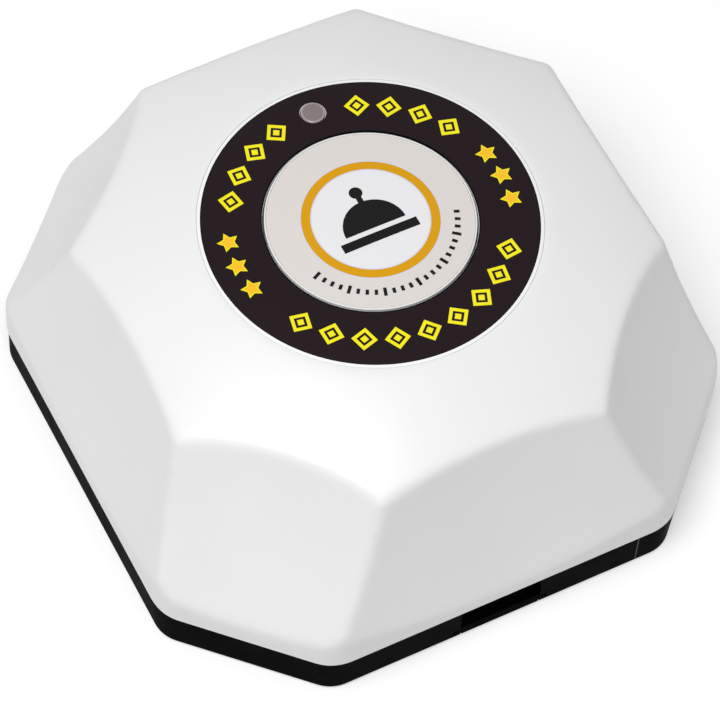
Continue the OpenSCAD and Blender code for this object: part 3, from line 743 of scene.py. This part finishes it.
def cover_hollow(sizes, well_z):
    """Hollow of the cover, less the well, guides, bosses and ribs that stand in it."""
    top = COVER_HIGH.z + PAST
    well_radius = BUTTON_HIGH.x + sizes.well_gap
    floor_z = well_z - sizes.well_wall
    guide_z = well_z - sizes.guide_height
    boss_z = SEAM + sizes.boss_lift
    shoulder = PIPE_LOW.z + sizes.flange_height
    places = screw_places(sizes)
    hollow = cover_form(sizes, sizes.wall, SEAM - PAST)
    walls = [cylinder(well_radius + sizes.well_wall, floor_z, top)]
    walls += [cylinder(sizes.boss_radius, boss_z, top, place, 40) for place in places]
    cut(hollow, together(walls))
    guide = cylinder(sizes.guide_radius + sizes.well_wall, guide_z, floor_z + PAST)
    cut(hollow, guide)
    tube = cylinder(FLANGE + sizes.pipe_wall, shoulder, top, PIPE_PLACE, 40)
    cut(hollow, tube)
    rib_length = Vector(places[0]).length - well_radius
    rib = (rib_length, sizes.rib, sizes.rib_depth + 2 * PAST)
    rib_z = COVER_HIGH.z - sizes.wall - sizes.rib_depth / 2 + PAST
    middle = (well_radius + rib_length / 2, 0, rib_z)
    ribs = [block(rib, middle, math.radians(45 + 90 * k)) for k in range(4)]
    return cut(hollow, together(ribs))


class CALLBUTTON_OT_mould_cover(bpy.types.Operator):
    """Moulds the octagonal cover with its scooped sides, soft edges, button well and bosses"""
    bl_idname = "callbutton.mould_cover"
    bl_label = "Mould Cover"

    def execute(self, context):
        sizes = context.scene.cover_sizes
        colours = context.scene.print_colours
        top = COVER_HIGH.z + PAST
        well_radius = BUTTON_HIGH.x + sizes.well_gap
        well_z = rim_of_button(sizes) - sizes.button_height - sizes.well_depth
        # Blend the edges of a form that is too long below, and cut it off at the seam
        cover = cover_form(sizes, 0.0, SEAM - sizes.blend_room)
        remesh = cover.modifiers.new("blend", "REMESH")
        remesh.mode = "VOXEL"
        remesh.voxel_size = sizes.voxel
        soften = cover.modifiers.new("soften", "SMOOTH")
        soften.factor = 0.5
        soften.iterations = sizes.blend_passes
        apply_modifiers(cover)
        cut_off(cover, (0, 0, SEAM), (0, 0, -1))
        # Hollow it, and cut the button's well and the holes
        cut(cover, cover_hollow(sizes, well_z))
        cut(cover, cylinder(well_radius, well_z, top, sides=160))
        # With as many sides as the well, the recess would leave a sliver
        recess = cylinder(RING_HIGH.x + sizes.recess_gap, RING_LOW.z, top, sides=158)
        cut(cover, recess)
        bores = [
            cylinder(sizes.guide_radius, well_z - sizes.guide_height - PAST, well_z + PAST),
            cylinder(sizes.pipe_hole, PIPE_LOW.z, top, PIPE_PLACE, 48),
        ]
        slot = (sizes.slot_length, sizes.slot_width, sizes.slot_depth)
        middle = (sizes.slot_reach, 0, well_z + PAST - sizes.slot_depth / 2)
        bores += [block(slot, middle, math.radians(30 + 120 * k)) for k in range(3)]
        pilot_top = SCREWS_HIGH.z + sizes.pilot_room
        bores += [
            cylinder(sizes.pilot_radius, SEAM - PAST, pilot_top, place, 40)
            for place in screw_places(sizes)
        ]
        cut(cover, together(bores))
        smooth(cover, 35)
        name_piece(cover, "moulded_cover", cover_plastic(colours), "cover_plastic", "housing",
                   "top_cover")
        return {"FINISHED"}


# ---- Prints ----

class CALLBUTTON_OT_print_ring(bpy.types.Operator):
    """Lays the printed ring in its recess, with holes for the button and the light pipe"""
    bl_idname = "callbutton.print_ring"
    bl_label = "Print Ring"

    def execute(self, context):
        sizes = context.scene.print_sizes
        colours = context.scene.print_colours
        low, high = RING_LOW.z - PAST, RING_HIGH.z + PAST
        ring = cylinder(RING_HIGH.x, RING_LOW.z, RING_HIGH.z, sides=192)
        bevel_edges(ring, sizes.ring_bevel, 2, lambda a, b: min(a.z, b.z) > RING_HIGH.z - NEAR)
        opening = cylinder(BUTTON_HIGH.x + sizes.ring_gap, low, high, sides=192)
        cut(ring, opening)
        cut(ring, cylinder(sizes.window_radius, low, high, PIPE_PLACE, 64))
        smooth(ring)
        name_piece(ring, "printed_ring", ring_print(colours, sizes), "ring_print", "housing",
                   "cover_label")
        return {"FINISHED"}


def star(sizes, radius, low, high, place, turn):
    """Plump five-pointed star with one tip towards turn."""
    piece = polygon(10, radius, low, high)
    deselect_mesh(piece)
    for corner in piece.data.vertices:
        step = round(math.degrees(math.atan2(corner.co.y, corner.co.x)) / 36)
        corner.select = step % 2 == 1
    open_mesh("VERT")
    waist = sizes.star_waist
    bpy.ops.transform.resize(value=(waist, waist, 1), center_override=(0, 0, 0))
    done()
    piece.rotation_euler.z = turn
    piece.location = (place[0], place[1], 0)
    return settle(piece)


def lozenge(sizes, low, high, turn):
    """Lozenge frame with a small lozenge in its middle."""
    radius = sizes.mark_radius
    place = polar(sizes.mark_reach, turn)
    outer = polygon(4, radius, low, high, place, turn)
    opening = polygon(4, radius * sizes.mark_opening, low - PAST, high + PAST, place, turn)
    cut(outer, opening)
    heart = polygon(4, radius * sizes.mark_heart, low, high, place, turn)
    return together([outer, heart])


class CALLBUTTON_OT_print_marks(bpy.types.Operator):
    """Prints six stars and seventeen lozenge ornaments round the ring"""
    bl_idname = "callbutton.print_marks"
    bl_label = "Print Stars and Ornaments"

    def execute(self, context):
        sizes = context.scene.print_sizes
        colours = context.scene.print_colours
        low, high = RING_HIGH.z, RING_HIGH.z + sizes.ink
        right_angle = math.radians(90)
        turns = [side + k * sizes.star_step for side in (0.0, math.pi) for k in (-1, 0, 1)]
        places = [polar(sizes.star_reach, turn + sizes.ring_turn) for turn in turns]
        edges = [star(sizes, sizes.star_radius, low, high, place, right_angle) for place in places]
        name_piece(together(edges), "star_edges", ink("star_edge_ink", colours.ornament),
                   "ring_print", "housing")
        fill, fill_top = sizes.star_radius * sizes.star_fill, high + sizes.ink / 2
        fills = [star(sizes, fill, high, fill_top, place, right_angle) for place in places]
        name_piece(together(fills), "star_fills", ink("star_ink", colours.star), "ring_print",
                   "housing")
        steps = [side * (k + sizes.mark_start) for side in (-1, 1) for k in range(4)]
        turns = [right_angle + step * sizes.mark_step for step in steps]
        turns += [-right_angle + (k - 4) * sizes.mark_step for k in range(9)]
        marks = [lozenge(sizes, low, high, turn + sizes.ring_turn) for turn in turns]
        name_piece(together(marks), "ring_ornaments", ink("ornament_ink", colours.ornament),
                   "ring_print", "housing")
        return {"FINISHED"}


class CALLBUTTON_OT_fit_light_pipe(bpy.types.Operator):
    """Turns the light pipe with its flange and polished end"""
    bl_idname = "callbutton.fit_light_pipe"
    bl_label = "Fit Light Pipe"

    def execute(self, context):
        sizes = context.scene.cover_sizes
        colours = context.scene.print_colours
        shoulder = PIPE_LOW.z + sizes.flange_height
        pipe = cylinder(FLANGE, PIPE_LOW.z, shoulder, PIPE_PLACE, 64)
        pick_faces(pipe, lambda normal: normal.z > FACING)
        bpy.ops.mesh.inset(thickness=FLANGE - sizes.pipe_radius)
        rise = (0, 0, PIPE_HIGH.z - shoulder)
        bpy.ops.mesh.extrude_region_move(TRANSFORM_OT_translate={"value": rise})
        done()
        bevel_edges(pipe, sizes.pipe_bevel, 3, lambda a, b: min(a.z, b.z) > PIPE_HIGH.z - NEAR)
        smooth(pipe)
        name_piece(pipe, "window_pipe", light_pipe(colours, sizes), "light_pipe", "housing",
                   "led_light_pipe")
        return {"FINISHED"}


def domed_film(sizes, radius, lift, thickness):
    """Film of even thickness that follows the button's domed face, raised by lift."""
    edge = face_of_button(sizes, radius) + lift
    piece = cylinder(radius, edge - thickness, edge, sides=128)
    for up in (1, -1):
        round_end(piece, up, radius, 8, lambda r: face_of_button(sizes, r))
    return piece


class CALLBUTTON_OT_print_disc(bpy.types.Operator):
    """Lays the domed printed disc on the button"""
    bl_idname = "callbutton.print_disc"
    bl_label = "Print Disc"

    def execute(self, context):
        sizes = context.scene.print_sizes
        colours = context.scene.print_colours
        thickness = sizes.disc - sizes.ink
        disc = domed_film(context.scene.cover_sizes, DISC_HIGH.x, -sizes.ink, thickness)
        smooth(disc)
        name_piece(disc, "printed_disc", disc_print(colours, sizes), "disc_print", "button",
                   "button_label")
        return {"FINISHED"}


def printed_on_disc(shape):
    """Leaves of an upright shape only a layer of ink on the domed disc."""
    scene = bpy.context.scene
    sizes = scene.print_sizes
    layer = domed_film(scene.cover_sizes, DISC_HIGH.x - sizes.ink_margin, 0.0, sizes.ink)
    return combine(shape, layer, "INTERSECT")


class CALLBUTTON_OT_print_bell(bpy.types.Operator):
    """Prints a service bell in the middle of the disc and fine ticks along its edge"""
    bl_idname = "callbutton.print_bell"
    bl_label = "Print Bell and Ticks"

    def execute(self, context):
        sizes = context.scene.print_sizes
        sign_ink = ink("sign_ink", context.scene.print_colours.sign)
        low, high = DISC_LOW.z - PAST, DISC_HIGH.z + PAST
        middle = (low + high) / 2
        height = high - low
        foot = -sizes.bell_foot
        dome_foot = foot + sizes.dome_lift
        dome = cylinder(sizes.dome_radius, low, high, (0, dome_foot))
        cut_off(dome, (0, dome_foot, 0), (0, -1, 0))
        plate = block((sizes.plate, sizes.plate_width, height),
                      (0, foot + sizes.plate_lift, middle))
        knob = cylinder(sizes.knob_radius, low, high, (0, foot + sizes.knob_lift), 48)
        stem = block((sizes.stem_width, sizes.stem, height), (0, foot + sizes.stem_lift, middle))
        combine(dome, stem, "UNION")
        combine(dome, knob, "UNION")
        bell = printed_on_disc(together([dome, plate]))
        name_piece(bell, "bell_sign", sign_ink, "disc_print", "button")
        first, last, count = sizes.tick_first, sizes.tick_last, sizes.tick_count
        ticks = []
        for k in range(count):
            turn = first + (last - first) * k / (count - 1) + sizes.ring_turn
            share = sizes.tick_share if k % 4 else 1.0
            tick = (sizes.tick_length * share, sizes.tick_width, height)
            ticks.append(block(tick, (sizes.tick_reach, 0, middle), turn))
        name_piece(printed_on_disc(together(ticks)), "disc_ticks", sign_ink, "disc_print", "button")
        return {"FINISHED"}


# ---- Raised line on the band, painted paler as a highlight ----

class CALLBUTTON_OT_add_painted_highlight_line(bpy.types.Operator):
    """Adds a fine raised line on the front of the band, whose paler colour paints a highlight there
    """
    bl_idname = "callbutton.add_witness_line"
    bl_label = "Add Painted Highlight Line"

    def execute(self, context):
        sizes = context.scene.cover_sizes
        colours = context.scene.print_colours
        height = SEAM - BASE_LOW.z
        line = block((sizes.line_width, 2 * sizes.line_height, height - 2 * sizes.line_gap),
                     (sizes.line_place, BASE_LOW.y, BASE_LOW.z + height / 2))
        bevel_edges(line, sizes.line_height * 0.8, 2,
                    lambda a, b: max(a.y, b.y) < BASE_LOW.y and abs(a.z - b.z) > height / 2)
        # Paler plastic than the base, which paints the highlight on the band
        plastic = moulded("highlight_line_plastic", colours.line, 0.5, height=0.004, specular=0.2)
        name_piece(line, "painted_highlight_line", plastic, "base_plastic", "housing")
        return {"FINISHED"}


# ---- Finishes of the other pieces ----

class CALLBUTTON_OT_finish_case(bpy.types.Operator):
    """Gives the button, the base, the door, the feet and the screws their finishes"""
    bl_idname = "callbutton.finish_case"
    bl_label = "Finish Case"

    def execute(self, context):
        colours = context.scene.print_colours
        dress(moulded("button_plastic", (0.86, 0.855, 0.85), 0.36, height=0.004, change=0.015),
              "call_button")
        dress(moulded("base_plastic", colours.base, 0.55, height=0.008, change=0.12,
                      specular=0.008), "base_tray")
        dress(moulded("door_plastic", colours.door, 0.6, height=0.012, change=0.12,
                      specular=0.006), "battery_door")
        dress(moulded("foot_rubber", (0.022, 0.022, 0.024), 0.75, grain=0.2, height=0.03,
                      change=0.2), "rubber_feet")
        dress(plated_steel(), "case_screws", "board_screws", "contact_spring", "negative_contact",
              "positive_contact", "switch_frame", "switch_dome", "saw_resonator")
        return {"FINISHED"}


class CALLBUTTON_OT_finish_inside(bpy.types.Operator):
    """Gives the board, the cell and the parts on the board their finishes"""
    bl_idname = "callbutton.finish_inside"
    bl_label = "Finish Inside"

    def execute(self, context):
        dress(board_laminate(), "circuit_board")
        dress(cell_sleeve(), "battery_cell", "supply_capacitor")
        dress(moulded("chip_plastic", (0.02, 0.02, 0.022), 0.55, grain=0.1, change=0.15),
              "switch_body", "encoder_chip", "rf_transistor", "chip_resistors")
        dress(moulded("plunger_plastic", (0.25, 0.03, 0.02), 0.4, change=0.08), "switch_plunger")
        dress(moulded("ceramic", (0.4, 0.3, 0.18), 0.5, grain=0.1, change=0.1), "chip_capacitors")
        dress(clear_lamp(), "status_led")
        dress(copper_wire(), "antenna_coil")
        return {"FINISHED"}


# ---- Stage ----

def seen_directly(tree):
    """1 for what the camera sees itself, by reflection or through glass."""
    path = tree.nodes.new("ShaderNodeLightPath")
    total = path.outputs["Is Camera Ray"]
    for ray in ("Is Glossy Ray", "Is Transmission Ray"):
        larger = tree.nodes.new("ShaderNodeMath")
        larger.operation = "MAXIMUM"
        tree.links.new(total, larger.inputs[0])
        tree.links.new(path.outputs[ray], larger.inputs[1])
        total = larger.outputs["Value"]
    return total


def floor_paper(settings):
    """Pale paper that the camera sees as white, and that still takes a shadow."""
    finish = Finish("floor_paper", 0.9)
    finish.paint(finish.tone([settings.floor_tone] * 3, 0.004, 100))
    glow = finish.math("MULTIPLY", seen_directly(finish.tree), settings.floor_glow)
    finish.shader.inputs["Emission Color"].default_value = (1, 1, 1, 1)
    finish.link(glow, finish.shader.inputs["Emission Strength"])
    finish.shader.inputs["Specular IOR Level"].default_value = 0.0
    return finish.material


def white_sky(settings):
    """Even light from all round, which the camera sees as white."""
    world = bpy.data.worlds.new("studio")
    bpy.context.scene.world = world
    world.use_nodes = True
    tree = world.node_tree
    ground = tree.nodes["Background"]
    level = tree.nodes.new("ShaderNodeMapRange")
    level.inputs["To Min"].default_value = settings.sky
    level.inputs["To Max"].default_value = 1.0
    tree.links.new(seen_directly(tree), level.inputs["Value"])
    tree.links.new(level.outputs["Result"], ground.inputs["Strength"])
    ground.inputs["Color"].default_value = (1, 1, 1, 1)


def soft_lamp(name, power, size, place):
    light = bpy.data.lights.new(name, "AREA")
    light.shape = "DISK"
    light.size = size
    light.energy = power
    lamp = bpy.data.objects.new(name, light)
    bpy.context.scene.collection.objects.link(lamp)
    lamp.location = place
    lamp.rotation_euler = (-Vector(place)).to_track_quat("-Z", "Y").to_euler()
    return lamp


def aim_camera(settings):
    """Puts the camera where the view has its turn, lift and roll about the middle of the seam."""
    lift, roll = settings.camera_lift, settings.camera_roll
    level = Matrix((
        (1, 0, 0),
        (0, math.sin(lift), math.cos(lift)),
        (0, -math.cos(lift), math.sin(lift)),
    ))
    view = Matrix.Rotation(roll, 3, "Z") @ level @ Matrix.Rotation(settings.camera_turn, 3, "Z")
    back = view.transposed()
    data = bpy.data.cameras.new("camera")
    data.lens = settings.lens
    data.sensor_width = 36
    data.clip_start = 0.01
    camera = bpy.data.objects.new("camera", data)
    bpy.context.scene.collection.objects.link(camera)
    place = back @ Vector((0, -settings.camera_drop, settings.camera_far))
    place.z += SEAM
    camera.matrix_world = Matrix.Translation(place) @ back.to_4x4()
    bpy.context.scene.camera = camera


class CALLBUTTON_OT_set_stage(bpy.types.Operator):
    """Lays the pale floor, lights the white sky, hangs the soft key lamp and aims the camera"""
    bl_idname = "callbutton.set_stage"
    bl_label = "Set Stage"

    def execute(self, context):
        settings = context.scene.stage_settings
        bpy.ops.mesh.primitive_plane_add(size=6, location=(0, 0, CAD_BOX[0].z))
        floor = settle(bpy.context.object)
        floor.name = "floor"
        floor.data.materials.append(floor_paper(settings))
        white_sky(settings)
        flat = polar(settings.key_far * math.cos(settings.key_lift), settings.key_turn)
        place = (*flat, settings.key_far * math.sin(settings.key_lift))
        soft_lamp("key_lamp", settings.key_power, settings.key_size, place)
        context.scene.view_settings.view_transform = "Standard"
        aim_camera(settings)
        return {"FINISHED"}


class CALLBUTTON_PT_pieces(bpy.types.Panel):
    """Runs each step of the call button and shows its settings"""
    bl_label = "Call Button"
    bl_idname = "CALLBUTTON_PT_pieces"
    bl_space_type = "VIEW_3D"
    bl_region_type = "UI"
    bl_category = "Call Button"

    def draw(self, context):
        for operator in OPERATORS:
            self.layout.operator(operator.bl_idname)
        for settings in SETTINGS:
            group = getattr(context.scene, settings)
            box = self.layout.box()
            for name in group.bl_rna.properties.keys():
                if name not in ("rna_type", "name"):
                    box.prop(group, name)


OPERATORS = [
    CALLBUTTON_OT_set_stage,
    CALLBUTTON_OT_mould_cover,
    CALLBUTTON_OT_print_ring,
    CALLBUTTON_OT_print_marks,
    CALLBUTTON_OT_fit_light_pipe,
    CALLBUTTON_OT_print_disc,
    CALLBUTTON_OT_print_bell,
    CALLBUTTON_OT_add_painted_highlight_line,
    CALLBUTTON_OT_finish_case,
    CALLBUTTON_OT_finish_inside,
]
SETTINGS = {
    "cover_sizes": CoverSizes,
    "print_sizes": PrintSizes,
    "print_colours": PrintColours,
    "stage_settings": StageSettings,
}


def register():
    for group in SETTINGS.values():
        bpy.utils.register_class(group)
    for operator in OPERATORS:
        bpy.utils.register_class(operator)
    bpy.utils.register_class(CALLBUTTON_PT_pieces)
    for name, group in SETTINGS.items():
        setattr(bpy.types.Scene, name, PointerProperty(type=group))


def unregister():
    for name in SETTINGS:
        delattr(bpy.types.Scene, name)
    bpy.utils.unregister_class(CALLBUTTON_PT_pieces)
    for operator in reversed(OPERATORS):
        bpy.utils.unregister_class(operator)
    for group in reversed(SETTINGS.values()):
        bpy.utils.unregister_class(group)


def main():
    register()
    for operator in OPERATORS:
        getattr(bpy.ops.callbutton, operator.bl_idname.split(".")[1])()


if __name__ == "__main__":
    main()
